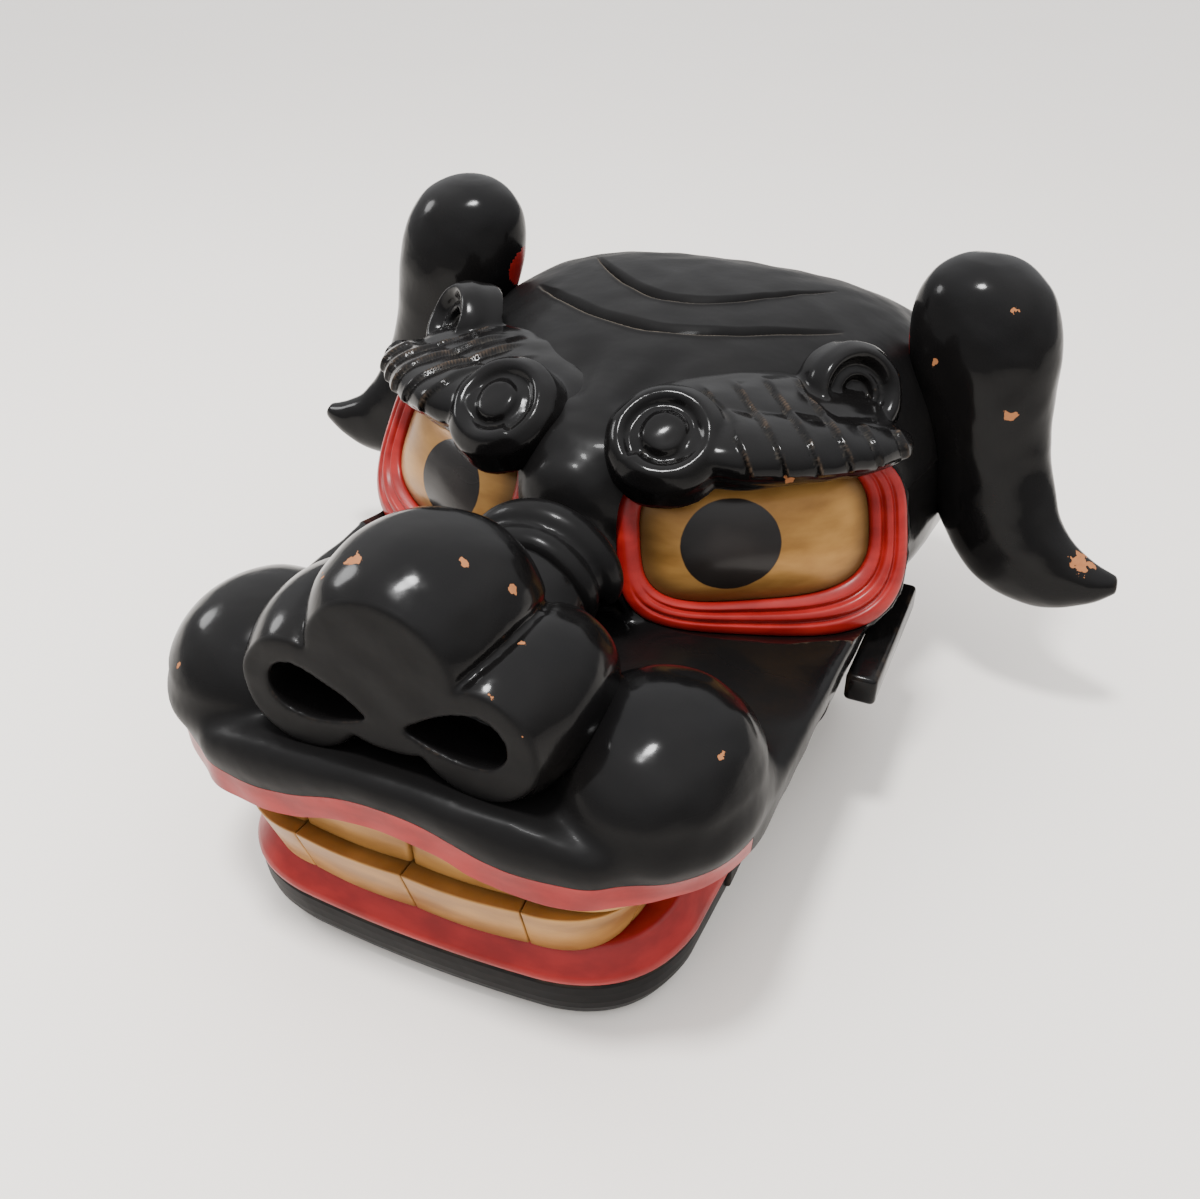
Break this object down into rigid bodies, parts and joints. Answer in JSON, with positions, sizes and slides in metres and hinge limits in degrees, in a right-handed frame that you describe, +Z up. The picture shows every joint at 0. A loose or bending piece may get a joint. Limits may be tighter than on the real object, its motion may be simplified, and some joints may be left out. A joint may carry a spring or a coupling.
{
  "type": "lion dance head",
  "caption": "Carved wooden lion dance head in black lacquer with red rims and lips, gold eyes and teeth, drooping ears and a hinged lower jaw.",
  "frame": {"origin": "middle of the overall box, at the floor under the lower jaw", "axes": "+Z up, the lion looks along -Y, its left side is +X"},
  "size_m": [0.5514, 0.474, 0.28],
  "materials": {
    "black_lacquer": "glossy black lacquer over carved wood",
    "red_lacquer": "satin red lacquer over carved wood",
    "gold_paint": "brushed gold paint over carved wood",
    "bare_wood": "plain turned wood"
  },
  "bodies": {
    "head": {"head_shell": "black_lacquer", "upper_lip": "red_lacquer", "upper_teeth": "gold_paint", "eye_rim_left": "red_lacquer", "eye_rim_right": "red_lacquer", "eyeball_left": "gold_paint", "eyeball_right": "gold_paint", "ear_left": "black_lacquer", "ear_right": "black_lacquer", "ear_peg_left": "bare_wood", "ear_peg_right": "bare_wood", "batten_left": "black_lacquer", "batten_right": "black_lacquer", "jaw_pin_left": "bare_wood", "jaw_pin_right": "bare_wood"},
    "jaw": {"lower_jaw": "black_lacquer", "jaw_lip": "red_lacquer", "lower_teeth": "gold_paint"}
  },
  "joints": [
    {"name": "jaw_hinge", "type": "hinge", "parent": "head", "child": "jaw", "pos_m": [0, 0.058, 0.092], "axis": [1, 0, 0], "range_deg": [0, 22]}
  ]
}
